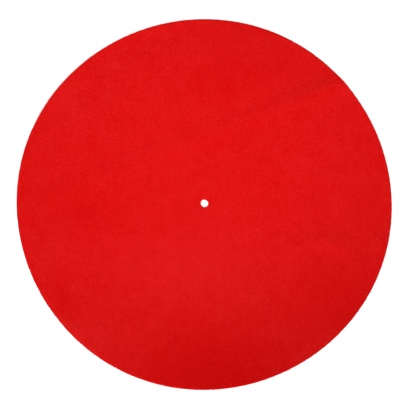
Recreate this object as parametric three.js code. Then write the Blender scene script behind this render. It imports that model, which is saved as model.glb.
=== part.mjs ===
// Turntable platter mat: one round of pressed wool felt, punched in the middle for the spindle.
// Lengths are in millimetres and +Z is up. The origin is on the spindle axis at the underside.
// +X is to the right of somebody standing in front of the turntable, and +Y is away from them.

import * as THREE from "three";
import { mergeGeometries, mergeVertices } from "three/addons/utils/BufferGeometryUtils.js";

// The round of felt
const matDiameter = 295;
const feltThickness = 3;
const spindleHoleDiameter = 6;
const edgeSoftness = 0.6; // radius that the cut edges have worn to

// Felt spreads more along and across its grain than between them, so the outline bulges four times
const grainBulge = 0.35;
const grainDirection = -20; // degrees from +X
const grainBulges = 4;

// The packing crease: a low ridge straight across the mat, behind the spindle
const creaseDirection = 21.4; // degrees from +X
const creaseOffset = 51; // from the spindle axis to the crest
const creaseFrontFlank = 17; // width of the slope on the spindle's side
const creaseBackFlank = 11;
const creaseHeights = [0.1, 0.3, 0.34, 0.6, 1.4]; // evenly spaced, from the left rim to the right rim

// Buckles on the right, where the felt has worked loose from the platter. Their crests bend sideways.
const buckleSlant = -18; // degrees from +X
const buckleBow = 0.016; // millimetres sideways for each millimetre squared along
const buckles = [
  { direction: -17.5, fromRim: 42, halfLength: 40, frontFlank: 10, backFlank: 16, height: 0.95 },
  { direction: -13, fromRim: 4, halfLength: 20, frontFlank: 14, backFlank: 10, height: 0.8 },
  { direction: 36, fromRim: 91, halfLength: 34, frontFlank: 8, backFlank: 6, height: 0.2 },
];

// Stretches of the rim that have curled up, each so many degrees to both sides of its middle
const curls = [
  { direction: 108, halfSpread: 34, width: 13, height: 0.75 },
  { direction: 145, halfSpread: 14, width: 14, height: 0.35 },
  { direction: 26, halfSpread: 12, width: 14, height: 0.35 },
];

// Spacing of the points that carry the shape
const creaseSpacing = 2.8;
const rowSpacing = 8;
const columnSpacing = 10;
const holeSegments = 24;
const edgeSegments = 2; // in each rounded corner of a cut edge

const matRadius = matDiameter / 2;
const holeRadius = spindleHoleDiameter / 2;
const edgeRounding = Math.min(edgeSoftness, feltThickness / 3);
const faceRadius = matRadius - edgeRounding;
const holeClearance = holeRadius + 2 * edgeRounding; // half the grid cell that the hole lies in
const creaseAngle = THREE.MathUtils.degToRad(creaseDirection);
const grainAngle = THREE.MathUtils.degToRad(grainDirection);
const slantAngle = THREE.MathUtils.degToRad(buckleSlant);
const spindleAxis = new THREE.Vector2();
const creaseCurve = new THREE.SplineCurve(creaseHeights.map((height, i) => new THREE.Vector2(i, height)));

// A smooth hump: 1 on its crest, and 0 from the foot of its flank outward
function hump(distance, flank) {
  const t = Math.min(Math.abs(distance) / flank, 1);
  return (1 + Math.cos(Math.PI * t)) / 2;
}

function creaseLift(point) {
  const place = point.clone().rotateAround(spindleAxis, -creaseAngle);
  const halfLength = Math.sqrt(matRadius ** 2 - creaseOffset ** 2);
  const t = THREE.MathUtils.clamp((place.x / halfLength + 1) / 2, 0, 1);
  const flank = place.y > creaseOffset ? creaseBackFlank : creaseFrontFlank;
  return creaseCurve.getPoint(t).y * hump(place.y - creaseOffset, flank);
}

function buckleLift(point, buckle) {
  const direction = THREE.MathUtils.degToRad(buckle.direction);
  const crest = new THREE.Vector2(matRadius - buckle.fromRim, 0).rotateAround(spindleAxis, direction);
  const place = point.clone().sub(crest).rotateAround(spindleAxis, -slantAngle);
  const pastCrest = place.y + buckleBow * place.x ** 2;
  const flank = pastCrest > 0 ? buckle.backFlank : buckle.frontFlank;
  return buckle.height * hump(place.x, buckle.halfLength) * hump(pastCrest, flank);
}

function curlLift(point, curl) {
  const rise = Math.max(0, 1 - (matRadius - point.length()) / curl.width);
  const direction = new THREE.Vector2(1, 0).rotateAround(spindleAxis, THREE.MathUtils.degToRad(curl.direction));
  const apart = THREE.MathUtils.radToDeg(point.angleTo(direction));
  return curl.height * rise ** 2 * hump(apart, curl.halfSpread);
}

// How far the felt stands off the platter at a point
function lift(point) {
  const lifts = [
    creaseLift(point),
    ...buckles.map((buckle) => buckleLift(point, buckle)),
    ...curls.map((curl) => curlLift(point, curl)),
  ];
  return lifts.reduce((sum, height) => sum + height);
}

// A face ends where the rounding of its cut edge begins
function faceOutline(angle) {
  const radius = faceRadius + grainBulge * Math.cos(grainBulges * (angle - grainAngle));
  return new THREE.Vector2(radius * Math.cos(angle), radius * Math.sin(angle));
}

function evenly(from, to, spacing) {
  const steps = Math.max(1, Math.ceil(Math.abs(to - from) / spacing));
  return Array.from({ length: steps + 1 }, (_, i) => from + ((to - from) * i) / steps);
}

// The angles at which the rows of the grid end, seen from the spindle and counted from the crease's
// direction. The rows run along the crease and are close together on its flanks, and two of them pass
// the spindle hole.
function rowAngles() {
  const lastAngle = Math.PI / 2 - rowSpacing / faceRadius;
  const frontFoot = creaseOffset - creaseFrontFlank;
  const backFoot = creaseOffset + creaseBackFlank;
  const across = [
    -holeClearance,
    holeClearance,
    ...evenly(creaseOffset, frontFoot, creaseSpacing),
    ...evenly(creaseOffset, backFoot, creaseSpacing),
  ];
  const wanted = [
    -lastAngle,
    lastAngle,
    ...across.map((distance) => Math.asin(distance / faceRadius)),
    ...evenly(-lastAngle, lastAngle, rowSpacing / faceRadius),
  ];
  const leastAngle = creaseSpacing / 2 / faceRadius;
  const kept = [];
  for (const angle of wanted) {
    const clearOfHole = Math.abs(faceRadius * Math.sin(angle)) >= holeClearance;
    const apart = kept.every((other) => Math.abs(other - angle) > leastAngle);
    if (clearOfHole && apart && Math.abs(angle) <= lastAngle) kept.push(angle);
  }
  return kept.sort((a, b) => a - b);
}

// Where the columns of the grid cross each row, from -1 at its left end to 1 at its right end
function columnShares() {
  const right = evenly(holeClearance, faceRadius, columnSpacing).map((distance) => distance / faceRadius);
  return [...right.toReversed().map((share) => -share), ...right];
}

const angles = rowAngles();
const shares = columnShares();
const middleRow = angles.findIndex((angle) => angle > 0) - 1;
const middleColumn = shares.findIndex((share) => share > 0) - 1;

// A row is a straight line between two points of the outline
function makeRow(angle) {
  const left = faceOutline(creaseAngle + Math.PI - angle);
  const right = faceOutline(creaseAngle + angle);
  return shares.map((share) => left.clone().lerp(right, (1 + share) / 2));
}

// The first row and the last row follow the outline itself
function makeEndRow(angle) {
  const side = Math.sign(angle) * (Math.PI / 2);
  return shares.map((share) => faceOutline(creaseAngle + side - share * (side - angle)));
}

const grid = [makeEndRow(angles[0]), ...angles.slice(1, -1).map(makeRow), makeEndRow(angles.at(-1))];

const rimLoop = [
  ...grid[0],
  ...grid.slice(1, -1).map((row) => row.at(-1)),
  ...grid.at(-1).toReversed(),
  ...grid.slice(1, -1).toReversed().map((row) => row[0]),
];
const holeLoop = evenly(0, -2 * Math.PI, (2 * Math.PI) / holeSegments)
  .slice(0, -1)
  .map((angle) => new THREE.Vector2(holeRadius + edgeRounding, 0).rotateAround(spindleAxis, angle));

// One flat face of the mat with its triangles facing up, made of a shape for each cell of the grid
function makeFace(height) {
  const cells = [];
  for (let i = 0; i < grid.length - 1; i++) {
    for (let j = 0; j < grid[i].length - 1; j++) {
      const cell = new THREE.Shape([grid[i][j], grid[i][j + 1], grid[i + 1][j + 1], grid[i + 1][j]]);
      if (i === middleRow && j === middleColumn) cell.holes.push(new THREE.Path(holeLoop));
      cells.push(new THREE.ShapeGeometry(cell));
    }
  }
  return mergeGeometries(cells).translate(0, 0, height);
}

function turnOver(geometry) {
  geometry.index.array.reverse();
  return geometry;
}

// Section of a cut edge from the top face down: how far it stands out past the face, and its height
function edgeSection() {
  const corner = evenly(0, Math.PI / 2, Math.PI / 2 / edgeSegments).map((angle) => ({
    reach: edgeRounding * Math.sin(angle),
    drop: edgeRounding * (1 - Math.cos(angle)),
  }));
  return [
    ...corner.map(({ reach, drop }) => ({ reach, height: feltThickness - drop })),
    ...corner.toReversed().map(({ reach, drop }) => ({ reach, height: drop })),
  ];
}

// The cut edge round a loop. The rim stands out from the faces, and the hole's wall stands inward.
function makeEdge(loop, outward) {
  const section = edgeSection();
  const edge = new THREE.PlaneGeometry(1, 1, loop.length, section.length - 1);
  const position = edge.getAttribute("position");
  for (let i = 0; i < position.count; i++) {
    const start = loop[(i % (loop.length + 1)) % loop.length];
    const { reach, height } = section[Math.floor(i / (loop.length + 1))];
    const place = start.clone().setLength(start.length() + outward * reach);
    position.setXYZ(i, place.x, place.y, height);
  }
  return edge;
}

function makeFeltMat() {
  const faces = [makeFace(feltThickness), turnOver(makeFace(0))];
  const edges = [makeEdge(rimLoop, 1), makeEdge(holeLoop, -1)];
  const whole = mergeGeometries([...faces, ...edges]);
  whole.deleteAttribute("normal");
  whole.deleteAttribute("uv");
  const felt = mergeVertices(whole);
  const position = felt.getAttribute("position");
  for (let i = 0; i < position.count; i++) {
    const point = new THREE.Vector2(position.getX(i), position.getY(i));
    position.setZ(i, position.getZ(i) + lift(point));
  }
  felt.computeVertexNormals();
  const redFelt = new THREE.MeshStandardMaterial({ color: 0xdb1414, roughness: 0.95, metalness: 0 });
  const mesh = new THREE.Mesh(felt, redFelt);
  mesh.name = "felt_mat";
  return mesh;
}

const platterMat = new THREE.Group();
platterMat.add(makeFeltMat());

export default platterMat;
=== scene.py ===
import math
from collections import namedtuple

import bpy
import numpy as np
from mathutils import Matrix, Vector, geometry, noise


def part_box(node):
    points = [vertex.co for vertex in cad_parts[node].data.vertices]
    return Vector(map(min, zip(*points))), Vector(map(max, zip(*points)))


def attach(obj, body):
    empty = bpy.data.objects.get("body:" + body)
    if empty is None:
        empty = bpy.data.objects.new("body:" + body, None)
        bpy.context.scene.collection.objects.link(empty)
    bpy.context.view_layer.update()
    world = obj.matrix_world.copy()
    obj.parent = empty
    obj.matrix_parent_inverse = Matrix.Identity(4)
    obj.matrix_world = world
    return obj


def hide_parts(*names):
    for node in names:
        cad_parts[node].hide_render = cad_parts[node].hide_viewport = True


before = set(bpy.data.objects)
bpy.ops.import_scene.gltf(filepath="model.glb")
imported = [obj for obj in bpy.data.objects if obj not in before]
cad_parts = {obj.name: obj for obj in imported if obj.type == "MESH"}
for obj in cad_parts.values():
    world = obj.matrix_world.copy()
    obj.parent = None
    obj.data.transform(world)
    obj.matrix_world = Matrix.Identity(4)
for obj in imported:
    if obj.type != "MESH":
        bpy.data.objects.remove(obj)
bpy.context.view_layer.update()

scene = bpy.context.scene
scene.view_settings.view_transform = "Standard"

# the round of felt as the frame gives it, in metres
matLow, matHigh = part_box("felt_mat")
matRadius = (matHigh.x - matLow.x) / 2
solidPoints = np.array([v.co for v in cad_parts["felt_mat"].data.vertices])
holeRadius = float(np.hypot(solidPoints[:, 0], solidPoints[:, 1]).min())
feltThickness = float(np.median(solidPoints[solidPoints[:, 2] > matHigh.z / 2, 2]))

# the cut outline bulges a little but is hollow nowhere, so it is the hull of the points seen from above
outline = solidPoints[geometry.convex_hull_2d([Vector(p[:2]) for p in solidPoints])]
outlineAngles = np.arctan2(outline[:, 1], outline[:, 0])
outlineRadii = np.hypot(outline[:, 0], outline[:, 1])
print(f"frame loaded: mat {2 * matRadius:.4f} m across, felt {feltThickness:.4f} m thick")


def outlineAt(angle):
    return np.interp(angle, outlineAngles, outlineRadii, period=2 * math.pi)


# the camera stands over the mat, leaning back towards its front
camera = {
    "distance": 3.3,
    "tilt": 9.2,           # degrees off the vertical
    "lean": 9.6,           # degrees that it stands to the left of the front
    "matPixels": 375.6,    # width of the mat in the picture, which is 416 pixels wide
    "pictureWidth": 416,
    "sensorWidth": 36.0,   # millimetres
    "clipEnd": 50.0,
    "aim": (0.0028, -0.0039, 0.003),
}


def makeCamera():
    data = bpy.data.cameras.new("overheadCamera")
    data.sensor_width = camera["sensorWidth"]
    pictureShare = camera["matPixels"] / camera["pictureWidth"]
    data.lens = data.sensor_width * pictureShare * camera["distance"] / (2 * matRadius)
    data.clip_end = camera["clipEnd"]
    tilt = math.radians(camera["tilt"])
    lean = math.radians(camera["lean"])
    back = Vector((-math.sin(lean) * math.sin(tilt), -math.cos(lean) * math.sin(tilt), math.cos(tilt)))
    right = Vector((0, 1, 0)).cross(back).normalized()
    turn = Matrix((right, back.cross(right), back)).transposed()
    overhead = bpy.data.objects.new("overheadCamera", data)
    place = Vector(camera["aim"]) + back * camera["distance"]
    overhead.matrix_world = Matrix.Translation(place) @ turn.to_4x4()
    scene.collection.objects.link(overhead)
    scene.camera = overhead


makeCamera()
print("camera placed")


# the packing crease, a low ridge straight across the mat behind the spindle
crease = {
    "direction": 21.4,     # degrees from +X
    "offset": 0.051,       # from the spindle to the crest
    "frontFlank": 0.017,
    "backFlank": 0.011,
    "heights": (0.0001, 0.00030, 0.00034, 0.00060, 0.0014),   # from the left rim to the right rim
}

# buckles near the right rim, where the felt has worked loose
buckles = {
    "slant": -18,          # degrees from +X
    "bow": 16,             # sideways bend, in metres for each metre squared along
    "places": (            # direction in degrees, distance in from the rim, half length, flanks, height
        (-17.5, 0.042, 0.040, 0.010, 0.016, 0.00095),
        (-13, 0.004, 0.020, 0.014, 0.010, 0.00080),
        (36, 0.091, 0.034, 0.008, 0.006, 0.00020),
    ),
}

# stretches of rim that have curled up: direction and half length in degrees, width, height
rimCurls = ((108, 34, 0.013, 0.00075), (145, 14, 0.014, 0.00035), (26, 12, 0.014, 0.00035))

# the felt's own unevenness
lumps = {
    "felt": ((0.0120, 0.00004), (0.0050, 0.00003)),       # width and height
    "cutEdge": ((0.0030, 0.00012), (0.0012, 0.00007)),
    "undersideShare": 0.4,                                # the underside is pressed flatter
}


def hump(distance, flank):
    return 0.5 + 0.5 * math.cos(math.pi * min(abs(distance) / flank, 1.0))


def turned(x, y, angle):
    return x * math.cos(angle) + y * math.sin(angle), y * math.cos(angle) - x * math.sin(angle)


def curveThrough(values, t):
    # a smooth curve through evenly spaced values, with t from 0 to 1
    place = min(max(t, 0.0), 1.0) * (len(values) - 1)
    i = min(int(place), len(values) - 2)
    a, b, c, d = (values[min(max(i + k, 0), len(values) - 1)] for k in (-1, 0, 1, 2))
    u = place - i
    return b + 0.5 * u * (c - a + u * (2 * a - 5 * b + 4 * c - d + u * (3 * (b - c) + d - a)))


def creaseLift(x, y):
    along, across = turned(x, y, math.radians(crease["direction"]))
    halfLength = math.sqrt(matRadius**2 - crease["offset"]**2)
    height = curveThrough(crease["heights"], (along / halfLength + 1) / 2)
    flank = crease["backFlank"] if across > crease["offset"] else crease["frontFlank"]
    return height * hump(across - crease["offset"], flank)


def buckleLift(x, y):
    lift = 0.0
    for direction, fromRim, halfLength, frontFlank, backFlank, height in buckles["places"]:
        angle = math.radians(direction)
        dx = x - (matRadius - fromRim) * math.cos(angle)
        dy = y - (matRadius - fromRim) * math.sin(angle)
        along, across = turned(dx, dy, math.radians(buckles["slant"]))
        across += buckles["bow"] * along**2
        flank = backFlank if across > 0 else frontFlank
        lift += height * hump(along, halfLength) * hump(across, flank)
    return lift


def curlLift(x, y):
    lift = 0.0
    angle = math.degrees(math.atan2(y, x))
    for direction, halfLength, width, height in rimCurls:
        rise = max(0.0, 1 - (matRadius - math.hypot(x, y)) / width)
        apart = (angle - direction + 180) % 360 - 180
        lift += height * rise**2 * hump(apart, halfLength)
    return lift


def feltLift(x, y):
    return creaseLift(x, y) + buckleLift(x, y) + curlLift(x, y)


def feltBump(place, kind="felt"):
    return sum(height * noise.noise(place / width) for width, height in lumps[kind])


def topHeight(x, y):
    return feltThickness + feltLift(x, y) + feltBump(Vector((x, y, feltThickness)))


# painted light and shade: patches of the felt painted lighter or darker, darker along the crease and
# behind it, lighter where it meets the right rim, and broad lighter and darker patches elsewhere
paintedLightPatches = (             # x, y, half length, half width, direction in degrees, tone
    (-0.098, -0.004, 0.060, 0.034, -8, -0.042),
    (-0.118, -0.042, 0.036, 0.016, 0, 0.035),
    (-0.010, -0.054, 0.110, 0.052, 0, 0.050),
    (0.004, -0.130, 0.076, 0.044, 0, -0.085),
    (-0.088, -0.108, 0.050, 0.034, -48, 0.045),
    (-0.108, -0.080, 0.030, 0.016, -50, -0.040),
    (-0.102, -0.103, 0.030, 0.007, -45, 0.045),
    (0.086, -0.113, 0.036, 0.009, 37, 0.050),
    (0.104, -0.078, 0.045, 0.040, 20, -0.032),
    (0.020, 0.100, 0.070, 0.026, 12, -0.035),
    (0.104, 0.080, 0.040, 0.016, 21, 0.014),
    (0.032, 0.056, 0.090, 0.012, 21, -0.025),
    (-0.115, 0.082, 0.034, 0.040, 35, 0.030),
    (-0.070, 0.109, 0.008, 0.008, 0, 0.050),
)


# painted light and shade: how much lighter or darker the patches paint the felt at a point
def paintedLightTone(x, y):
    tone = 0.0
    for px, py, halfLength, halfWidth, direction, strength in paintedLightPatches:
        along, across = turned(x - px, y - py, math.radians(direction))
        tone += strength * hump(math.hypot(along / halfLength, across / halfWidth), 1.0)
    return tone


# the felt itself: rings of points from the hole out over the top, round the rim and back underneath
felt = {
    "ringGap": 0.0015,
    "undersideGap": 0.0030,
    "ringCounts": ((0.044, 480), (0.022, 240), (0.011, 120), (0.0, 60)),   # from this radius, points round
    "rimCount": 960,
    "holeCount": 60,
    "edgeRound": 0.0006,
    "cornerSteps": 4,
    "wallSteps": 6,
    "paintedEdgeHighlight": 0.30,       # painted highlight: the cut edges are painted paler all round
    "rimPatternStep": 0.0003,      # from ring to ring down the rim, in the flat pattern
    "holePatternStep": 0.0002,
    "patternMargin": 0.006,
}

FeltRing = namedtuple("FeltRing", "count share reach height out up pattern")


def ringCount(radius):
    return next(count for least, count in felt["ringCounts"] if radius >= least)


def faceRings(height, up, gap):
    # from the hole to the rim, closer together where the points round a ring are
    start, end = holeRadius + felt["edgeRound"], matRadius - felt["edgeRound"]
    radii = [start]
    while radii[-1] < end - 1.5 * gap:
        pointGap = 2 * math.pi * radii[-1] / ringCount(radii[-1])
        radii.append(radii[-1] + gap * min(1, pointGap / felt["ringGap"]))
    radii.append(end)
    return [FeltRing(ringCount(r), (r - start) / (end - start), 0.0, height, 0.0, up, r) for r in radii]


def edgeRings(count, share, side, firstPattern, patternStep):
    # down a cut edge from the top face to the underside; side is 1 at the rim and -1 in the hole
    edge = felt["edgeRound"]
    corner = [i / felt["cornerSteps"] * math.pi / 2 for i in range(1, felt["cornerSteps"] + 1)]
    wallTop, wallBottom = feltThickness - edge, edge
    wall = [wallTop + (wallBottom - wallTop) * i / felt["wallSteps"] for i in range(1, felt["wallSteps"])]
    section = [(math.sin(a), wallTop + edge * math.cos(a), math.cos(a)) for a in corner]
    section += [(1.0, height, 0.0) for height in wall]
    section += [(math.sin(a), wallBottom - edge * math.cos(a), -math.cos(a)) for a in reversed(corner)]
    rings = []
    for i, (out, height, up) in enumerate(section):
        pattern = firstPattern + side * patternStep * (i + 1)
        rings.append(FeltRing(count, share, side * edge * out, height, side * out, up, pattern))
    return rings


def feltPoint(angle, ring):
    edge = felt["edgeRound"]
    faceWidth = outlineAt(angle) - holeRadius - 2 * edge
    radius = holeRadius + edge + faceWidth * ring.share + ring.reach
    place = Vector((radius * math.cos(angle), radius * math.sin(angle), ring.height))
    bump = feltBump(place)
    sideways = ring.out * feltBump(place, "cutEdge")
    x = place.x + sideways * math.cos(angle)
    y = place.y + sideways * math.sin(angle)
    if ring.up >= 0:
        rise = bump * ring.up
    else:
        rise = -ring.up * lumps["undersideShare"] * abs(bump)
    return x, y, ring.height + feltLift(x, y) + rise


def stitchRings(inner, outer):
    # faces between two rings of points, where one may have twice the points of the other
    faces = []
    if len(inner) == len(outer):
        for i in range(len(inner)):
            j = (i + 1) % len(inner)
            faces.append((inner[i], outer[i], outer[j], inner[j]))
    elif len(outer) == 2 * len(inner):
        for i in range(len(inner)):
            j = (i + 1) % len(inner)
            near, middle, far = outer[2 * i], outer[2 * i + 1], outer[2 * j]
            faces += [(inner[i], near, middle), (inner[i], middle, inner[j]), (inner[j], middle, far)]
    else:
        faces = [face[::-1] for face in stitchRings(outer, inner)]
    return faces


def addPattern(mesh, loopPlaces):
    # the flat pattern that a finish is laid out on; loopPlaces has one place for each corner of a face
    layer = mesh.uv_layers.new(name="OFBake")
    layer.uv.foreach_set("vector", np.asarray(loopPlaces, dtype=np.float32).ravel())


def feltPattern(mesh, rings, angles, ringOf, undersideFaces):
    # the top with the cut edges laid out flat round it, and the underside beside it
    corners = np.empty(len(mesh.loops), dtype=np.int32)
    mesh.loops.foreach_get("vertex_index", corners)
    sizes = np.empty(len(mesh.polygons), dtype=np.int32)
    mesh.polygons.foreach_get("loop_total", sizes)
    under = np.repeat(undersideFaces, sizes)
    patternRadii = np.array([ring.pattern for ring in rings])[ringOf][corners]
    x = patternRadii * np.cos(angles[corners])
    y = patternRadii * np.sin(angles[corners])
    halfWidth = matRadius + felt["patternMargin"]
    u = (x + halfWidth + under * 2 * halfWidth) / (4 * halfWidth)
    v = (y + halfWidth) / (4 * halfWidth)
    addPattern(mesh, np.stack([u, v], axis=1))


def makeFelt():
    edge = felt["edgeRound"]
    top = faceRings(feltThickness, 1.0, felt["ringGap"])
    rim = edgeRings(felt["rimCount"], 1.0, 1, matRadius - edge, felt["rimPatternStep"])
    underside = faceRings(0.0, -1.0, felt["undersideGap"])[::-1]
    hole = edgeRings(felt["holeCount"], 0.0, -1, holeRadius + edge, felt["holePatternStep"])[::-1]
    rings = top + rim + underside + hole
    points, loops, angles, ringOf = [], [], [], []
    for number, ring in enumerate(rings):
        loops.append(range(len(points), len(points) + ring.count))
        for i in range(ring.count):
            angle = 2 * math.pi * i / ring.count
            angles.append(angle)
            ringOf.append(number)
            points.append(feltPoint(angle, ring))
    faces, under = [], []
    for i, loop in enumerate(loops):
        band = stitchRings(loop, loops[(i + 1) % len(loops)])
        faces += band
        under += [len(top) + len(rim) <= i < len(rings) - len(hole) - 1] * len(band)
    mesh = bpy.data.meshes.new("feltSheet")
    mesh.from_pydata(points, [], faces)
    mesh.polygons.foreach_set("use_smooth", [True] * len(mesh.polygons))
    mesh.update()
    # painted light and shade in the colour: the patches, plus a painted highlight on the cut edges
    paintedLight = mesh.attributes.new("paintedLight", "FLOAT", "POINT")
    tones = [paintedLightTone(x, y) + felt["paintedEdgeHighlight"] * abs(rings[i].out) for (x, y, _), i in zip(points, ringOf)]
    paintedLight.data.foreach_set("value", tones)
    feltPattern(mesh, rings, np.array(angles), np.array(ringOf), np.array(under))
    sheet = bpy.data.objects.new("felt_sheet", mesh)
    scene.collection.objects.link(sheet)
    return sheet


feltSheet = makeFelt()
print(f"felt made: {len(feltSheet.data.polygons)} faces")


# loose wool fibres that stand out of the felt, by where they grow
fuzz = {
    "top": {
        "seed": 40, "count": 10500, "length": (0.0015, 0.0060), "rise": (0.00010, 0.00055),
        "arch": (0.70, 1.0), "radius": (0.000012, 0.000026),
    },
    "rim": {
        "seed": 51, "count": 9000, "length": (0.0007, 0.0024), "rise": (0.00005, 0.00045),
        "arch": (0.4, 0.9), "radius": (0.000008, 0.000016),
    },
    "hole": {
        "seed": 52, "count": 300, "length": (0.0006, 0.0014), "rise": (0.00005, 0.00025),
        "arch": (0.4, 0.9), "radius": (0.000008, 0.000016),
    },
    "topPieces": 3,
    "dark": (0.660, 0.0010, 0.0010),
    "red": (0.780, 0.0060, 0.0058),
    "light": (0.920, 0.0700, 0.0680),     # wool that took less of the dye
    "rampAt": (0.0, 0.6, 0.9),
    "taper": ((0.0, 0.0), (0.22, 1.0), (0.52, 0.9), (0.80, 0.65), (1.0, 0.0)),   # along a fibre, width
    "bend": 0.35,          # sideways, as a share of the length
    "rootDepth": 0.00006,
    "edgeRootDepth": 0.00005,
    "edgeMargins": (0.0004, 0.0002),      # a cut edge has no roots this near its underside and its top
    "outward": 0.55,       # how the fibres of a cut edge lie: straight out, round it and up
    "around": 1.0,
    "upward": (-0.25, 0.45),
    "flatBelow": 0.001,    # no slope up or down below this height
    "roughness": 0.6,
    "specular": 0.10,
    "sheen": 0.25,
    "sheenRoughness": 0.4,
}


def fibreFaces():
    # one fibre: a tip, three rings of three points, and the other tip
    faces = [(0, 1 + (k + 1) % 3, 1 + k) for k in range(3)]
    for ring in (1, 4):
        for k in range(3):
            a, b = ring + k, ring + (k + 1) % 3
            faces += [(a, b, b + 3), (a, b + 3, a + 3)]
    faces += [(7 + k, 7 + (k + 1) % 3, 10) for k in range(3)]
    return np.array(faces)


def makeFibres(name, roots, along, up, kind, rng):
    # roots on the felt; along is the way each fibre lies, and up points out of the felt
    count = len(roots)
    settings = fuzz[kind]
    length = rng.uniform(*settings["length"], count)[:, None]
    rise = rng.uniform(*settings["rise"], count)[:, None]
    arch = rng.uniform(*settings["arch"], count)[:, None]
    bend = fuzz["bend"] * rng.uniform(-1, 1, count)[:, None]
    radius = rng.uniform(*settings["radius"], count)[:, None]
    side = np.cross(up, along)
    rings = []
    for t, width in fuzz["taper"]:
        height = rise * np.sin(math.pi * t * arch) - fuzz["rootDepth"] * (1 - t)
        middle = roots + length * (t * along + bend * t * t * side) + height * up
        middle[:, 2:] = np.maximum(middle[:, 2:], radius)   # none reaches below what the mat lies on
        if width == 0.0:
            rings.append(middle)
            continue
        for k in range(3):
            turn = 2 * math.pi * k / 3
            rings.append(middle + radius * width * (math.cos(turn) * up + math.sin(turn) * side))
    points = np.stack(rings, axis=1)
    facesOfOne = fibreFaces()
    faces = (facesOfOne[None] + (points.shape[1] * np.arange(count))[:, None, None]).reshape(-1, 3)
    mesh = bpy.data.meshes.new(name)
    mesh.from_pydata(points.reshape(-1, 3).tolist(), [], faces.tolist())
    mesh.polygons.foreach_set("use_smooth", [True] * len(mesh.polygons))
    mesh.update()
    shade = mesh.attributes.new("shade", "FLOAT", "POINT")
    shade.data.foreach_set("value", np.repeat(rng.uniform(0, 1, count), points.shape[1]))
    fibrePattern(mesh, count, facesOfOne)
    piece = bpy.data.objects.new(name, mesh)
    scene.collection.objects.link(piece)
    return piece


def fibrePattern(mesh, count, facesOfOne):
    # each fibre has its own square of the flat pattern
    across = math.ceil(math.sqrt(count))
    lengthwise = np.array([0.0] + [0.25] * 3 + [0.5] * 3 + [0.75] * 3 + [1.0])
    round3 = np.array([0.5] + [0.0, 0.4, 0.8] * 3 + [0.5])
    corner = facesOfOne.ravel()
    u, v = lengthwise[corner], round3[corner].reshape(-1, 3)
    v = np.where((v == 0.0) & (v.max(axis=1, keepdims=True) > 0.7), 1.0, v).ravel()
    cell, margin = np.arange(count), 0.1
    allU = (cell[:, None] % across + margin + (1 - 2 * margin) * u[None]) / across
    allV = (cell[:, None] // across + margin + (1 - 2 * margin) * v[None]) / across
    addPattern(mesh, np.stack([allU.ravel(), allV.ravel()], axis=1))


def unit(vectors):
    return vectors / np.linalg.norm(vectors, axis=1, keepdims=True)


def topFibres(number):
    rng = np.random.default_rng(fuzz["top"]["seed"] + number)
    count = fuzz["top"]["count"]
    angle = rng.uniform(0, 2 * math.pi, count)
    innerEdge = holeRadius + felt["edgeRound"]
    outerEdge = outlineAt(angle) - felt["edgeRound"]
    radius = np.sqrt(rng.uniform(0, 1, count) * (outerEdge**2 - innerEdge**2) + innerEdge**2)
    x, y = radius * np.cos(angle), radius * np.sin(angle)
    roots = np.array([(a, b, topHeight(a, b)) for a, b in zip(x, y)])
    heading = rng.uniform(0, 2 * math.pi, count)
    along = np.stack([np.cos(heading), np.sin(heading), np.zeros(count)], axis=1)
    up = np.tile((0.0, 0.0, 1.0), (count, 1))
    return makeFibres(f"felt_fuzz_top_{number}", roots, along, up, "top", rng)


def edgeFibres(kind, side):
    # fibres out of a cut edge: side is 1 at the rim and -1 in the hole
    rng = np.random.default_rng(fuzz[kind]["seed"])
    count = fuzz[kind]["count"]
    angle = rng.uniform(0, 2 * math.pi, count)
    underMargin, topMargin = fuzz["edgeMargins"]
    height = rng.uniform(underMargin, feltThickness - topMargin, count)
    edgeRadius = outlineAt(angle) if side > 0 else np.full(count, holeRadius)
    radius = edgeRadius - side * fuzz["edgeRootDepth"]
    x, y = radius * np.cos(angle), radius * np.sin(angle)
    roots = np.array([(a, b, h + feltLift(a, b)) for a, b, h in zip(x, y, height)])
    out = side * np.stack([np.cos(angle), np.sin(angle), np.zeros(count)], axis=1)
    around = np.stack([-np.sin(angle), np.cos(angle), np.zeros(count)], axis=1)
    swing = rng.normal(0, fuzz["around"], count)[:, None]
    upward = rng.uniform(*fuzz["upward"], count)[:, None] * (height[:, None] > fuzz["flatBelow"])
    along = unit(fuzz["outward"] * out + swing * around + upward * np.array((0.0, 0.0, 1.0)))
    up = unit(np.cross(along, np.cross(out, along)))
    return makeFibres(f"felt_fuzz_{kind}", roots, along, up, kind, rng)


fuzzPieces = [topFibres(number + 1) for number in range(fuzz["topPieces"])]
fuzzPieces += [edgeFibres("rim", 1), edgeFibres("hole", -1)]
print(f"fuzz made: {sum(len(piece.data.polygons) for piece in fuzzPieces)} faces")


# red wool felt, matted from fibres that lie every way
redFelt = {
    "dark": (0.600, 0.0002, 0.0002),
    "red": (0.715, 0.0035, 0.0034),
    "light": (0.830, 0.0205, 0.0200),
    "rampAt": (0.0, 0.48, 1.0),            # where these three stand, as shares of the tone's range
    "toneWeights": {"clouds": 0.12, "mottle": 0.29, "speckle": 0.25, "matted": 0.49, "paintedLight": 1.0},
    "toneRange": (0.340, 0.840),
    "reliefWeights": {"mottle": 0.6, "matted": 1.0},
    "reliefDepth": 0.00012,
    "cloudWidth": 0.012,
    "mottleWidth": 0.0018,
    "speckleWidth": 0.0010,
    "fibreLength": 0.0030,
    "fibreWidth": 0.00024,
    "fibreDirections": (15, 78, 139),      # degrees from +X
    "fibreWaviness": 1.2,
    "roughness": 0.95,
    "specular": 0.02,
    "sheen": 0.02,
    "sheenRoughness": 0.6,
    "sheenTint": (1.0, 0.18, 0.16),
}


def addNode(tree, kind, x, y, **settings):
    node = tree.nodes.new(kind)
    node.location = (x, y)
    for name, value in settings.items():
        setattr(node, name, value)
    return node


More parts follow.
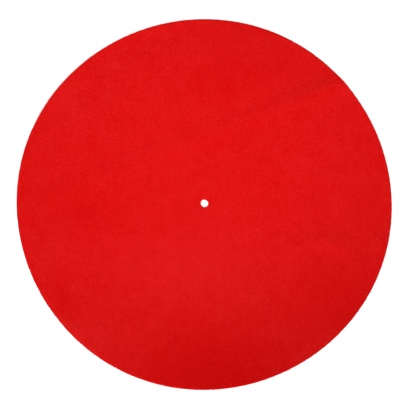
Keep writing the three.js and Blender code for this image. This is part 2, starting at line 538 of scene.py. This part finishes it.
def noiseNode(tree, coords, width, x, y, detail=3.0, rough=0.55):
    node = addNode(tree, "ShaderNodeTexNoise", x, y)
    node.inputs["Scale"].default_value = 1.0 / width
    node.inputs["Detail"].default_value = detail
    node.inputs["Roughness"].default_value = rough
    tree.links.new(coords, node.inputs["Vector"])
    return node.outputs["Fac"]


def fibreNodes(tree, coords, angle, x, y):
    # short streaks one way: a noise stretched along the fibres and bent a little
    mapping = addNode(tree, "ShaderNodeMapping", x, y, vector_type="TEXTURE")
    mapping.inputs["Rotation"].default_value = (0.0, 0.0, math.radians(angle))
    sizes = (redFelt["fibreLength"], redFelt["fibreWidth"], redFelt["fibreWidth"])
    mapping.inputs["Scale"].default_value = sizes
    tree.links.new(coords, mapping.inputs["Vector"])
    streaks = addNode(tree, "ShaderNodeTexNoise", x + 200, y)
    streaks.inputs["Scale"].default_value = 1.0
    streaks.inputs["Detail"].default_value = 1.0
    streaks.inputs["Distortion"].default_value = redFelt["fibreWaviness"]
    tree.links.new(mapping.outputs["Vector"], streaks.inputs["Vector"])
    return streaks.outputs["Fac"]


def mathNode(tree, operation, a, b, x, y):
    node = addNode(tree, "ShaderNodeMath", x, y, operation=operation)
    for socket, value in zip(node.inputs, (a, b)):
        if isinstance(value, (int, float)):
            socket.default_value = value
        else:
            tree.links.new(value, socket)
    return node.outputs["Value"]


def weightedSum(tree, layers, weights, x, y):
    # adds up the layers that have a weight
    total = None
    for i, (name, weight) in enumerate(weights.items()):
        part = mathNode(tree, "MULTIPLY", layers[name], weight, x, y - 160 * i)
        total = part if total is None else mathNode(tree, "ADD", total, part, x + 180, y - 160 * i)
    return total


def woolRamp(tree, value, wool, x, y):
    ramp = addNode(tree, "ShaderNodeValToRGB", x, y)
    colours = (wool["dark"], wool["red"], wool["light"])
    ramp.color_ramp.elements.new(wool["rampAt"][1])
    for element, position, colour in zip(ramp.color_ramp.elements, wool["rampAt"], colours):
        element.position = position
        element.color = (*colour, 1)
    tree.links.new(value, ramp.inputs["Fac"])
    return ramp.outputs["Color"]


def setFinish(shader, finish):
    shader.inputs["Roughness"].default_value = finish["roughness"]
    shader.inputs["Specular IOR Level"].default_value = finish["specular"]
    shader.inputs["Sheen Weight"].default_value = finish["sheen"]
    shader.inputs["Sheen Roughness"].default_value = finish["sheenRoughness"]
    shader.inputs["Sheen Tint"].default_value = (*redFelt["sheenTint"], 1)


def makeRedFelt():
    material = bpy.data.materials.new("redFelt")
    material.use_nodes = True
    tree = material.node_tree
    shader = tree.nodes["Principled BSDF"]
    coords = addNode(tree, "ShaderNodeTexCoord", -1700, 0).outputs["Object"]
    directions = enumerate(redFelt["fibreDirections"])
    streaks = [fibreNodes(tree, coords, angle, -1500, -50 - 250 * i) for i, angle in directions]
    matted = mathNode(tree, "MAXIMUM", streaks[0], streaks[1], -1050, -150)
    layers = {
        "clouds": noiseNode(tree, coords, redFelt["cloudWidth"], -1400, 400),
        "mottle": noiseNode(tree, coords, redFelt["mottleWidth"], -1400, 200, detail=4.0, rough=0.6),
        "speckle": noiseNode(tree, coords, redFelt["speckleWidth"], -1400, 0, detail=1.0),
        "matted": mathNode(tree, "MAXIMUM", matted, streaks[2], -900, -250),
        # painted light and shade from the patches, and the painted highlight on the cut edges
        "paintedLight": addNode(tree, "ShaderNodeAttribute", -1400, 600, attribute_name="paintedLight").outputs["Fac"],
    }

    # colour: painted light and shade from the patches, a painted highlight on the cut edges, broad clouds,
    # fine mottling, and the fibres on top
    tone = addNode(tree, "ShaderNodeMapRange", -400, 400)
    tone.inputs["From Min"].default_value, tone.inputs["From Max"].default_value = redFelt["toneRange"]
    toneSum = weightedSum(tree, layers, redFelt["toneWeights"], -800, 500)
    tree.links.new(toneSum, tone.inputs["Value"])
    colour = woolRamp(tree, tone.outputs["Result"], redFelt, -200, 300)
    tree.links.new(colour, shader.inputs["Base Color"])

    # relief: the mottling and the fibres
    bump = addNode(tree, "ShaderNodeBump", -200, -350)
    bump.inputs["Distance"].default_value = redFelt["reliefDepth"]
    reliefSum = weightedSum(tree, layers, redFelt["reliefWeights"], -600, -350)
    tree.links.new(reliefSum, bump.inputs["Height"])
    tree.links.new(bump.outputs["Normal"], shader.inputs["Normal"])

    setFinish(shader, redFelt)
    return material


def makeRedFibre():
    # single fibres: each one dyed a little lighter or darker, with a sheen along its sides
    material = bpy.data.materials.new("redFibre")
    material.use_nodes = True
    tree = material.node_tree
    shader = tree.nodes["Principled BSDF"]
    shade = addNode(tree, "ShaderNodeAttribute", -700, 200, attribute_name="shade").outputs["Fac"]
    colour = woolRamp(tree, shade, fuzz, -400, 200)
    tree.links.new(colour, shader.inputs["Base Color"])
    setFinish(shader, fuzz)
    return material


feltSheet.data.materials.append(makeRedFelt())
redFibre = makeRedFibre()
for piece in fuzzPieces:
    piece.data.materials.append(redFibre)
for piece in [feltSheet, *fuzzPieces]:
    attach(piece, "root")
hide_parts("felt_mat")
print("felt finished")


# a pale floor that shows white to the camera and still takes the mat's shadow
floor = {
    "size": 30.0,
    "drop": 0.0001,        # below the felt, so that the two don't flicker
    "glow": 0.90,
    "paint": (0.85, 0.85, 0.85),
}


def makeFloor():
    mesh = bpy.data.meshes.new("paleFloor")
    half = floor["size"] / 2
    z = -floor["drop"]
    corners = [(-half, -half, z), (half, -half, z), (half, half, z), (-half, half, z)]
    mesh.from_pydata(corners, [], [(0, 1, 2, 3)])
    paleFloor = bpy.data.objects.new("pale_floor", mesh)
    scene.collection.objects.link(paleFloor)
    material = bpy.data.materials.new("palePaper")
    material.use_nodes = True
    tree = material.node_tree
    shader = tree.nodes["Principled BSDF"]
    shader.inputs["Base Color"].default_value = (*floor["paint"], 1)
    shader.inputs["Roughness"].default_value = 1.0
    shader.inputs["Specular IOR Level"].default_value = 0.0
    shader.inputs["Emission Color"].default_value = (1, 1, 1, 1)
    glow = mathNode(tree, "MULTIPLY", seenDirectly(tree), floor["glow"], -200, -200)
    tree.links.new(glow, shader.inputs["Emission Strength"])
    mesh.materials.append(material)


def seenDirectly(tree):
    # 1 for what the camera sees, also in gloss and through glass, and 0 for light on the mat
    path = addNode(tree, "ShaderNodeLightPath", -800, -200)
    straight, gloss = path.outputs["Is Camera Ray"], path.outputs["Is Glossy Ray"]
    seen = mathNode(tree, "MAXIMUM", straight, gloss, -600, -200)
    return mathNode(tree, "MAXIMUM", seen, path.outputs["Is Transmission Ray"], -400, -200)


# soft studio light: the main box stands in front of the mat, and a smaller one hangs over it
lighting = {
    "frontBox": {
        "place": (-0.021, -1.30, 1.20), "aim": (-0.141, 0.101, 0.0),
        "size": 0.4, "spread": 21.8, "power": 0.817,
    },
    "topBox": {
        "place": (-0.082, -0.07, 0.80), "aim": (0.20, 0.052, 0.0),
        "size": 0.3, "spread": 40.4, "power": 0.258,
    },
    "sky": 0.20,
}


def makeBox(name):
    settings = lighting[name]
    data = bpy.data.lights.new(name, "AREA")
    data.shape = "SQUARE"
    data.size = settings["size"]
    data.spread = math.radians(settings["spread"])
    data.energy = settings["power"]
    box = bpy.data.objects.new(name, data)
    place = Vector(settings["place"])
    box.location = place
    box.rotation_euler = (place - Vector(settings["aim"])).to_track_quat("Z", "Y").to_euler()
    box.visible_camera = False
    scene.collection.objects.link(box)


def makeSky():
    world = bpy.data.worlds.new("softSky")
    scene.world = world
    world.use_nodes = True
    tree = world.node_tree
    strength = addNode(tree, "ShaderNodeMapRange", -200, 0)
    strength.inputs["To Min"].default_value = lighting["sky"]
    strength.inputs["To Max"].default_value = 1.0
    tree.links.new(seenDirectly(tree), strength.inputs["Value"])
    sky = tree.nodes["Background"]
    sky.inputs["Color"].default_value = (1, 1, 1, 1)
    tree.links.new(strength.outputs["Result"], sky.inputs["Strength"])


makeFloor()
makeBox("frontBox")
makeBox("topBox")
makeSky()
print("floor and lights placed")
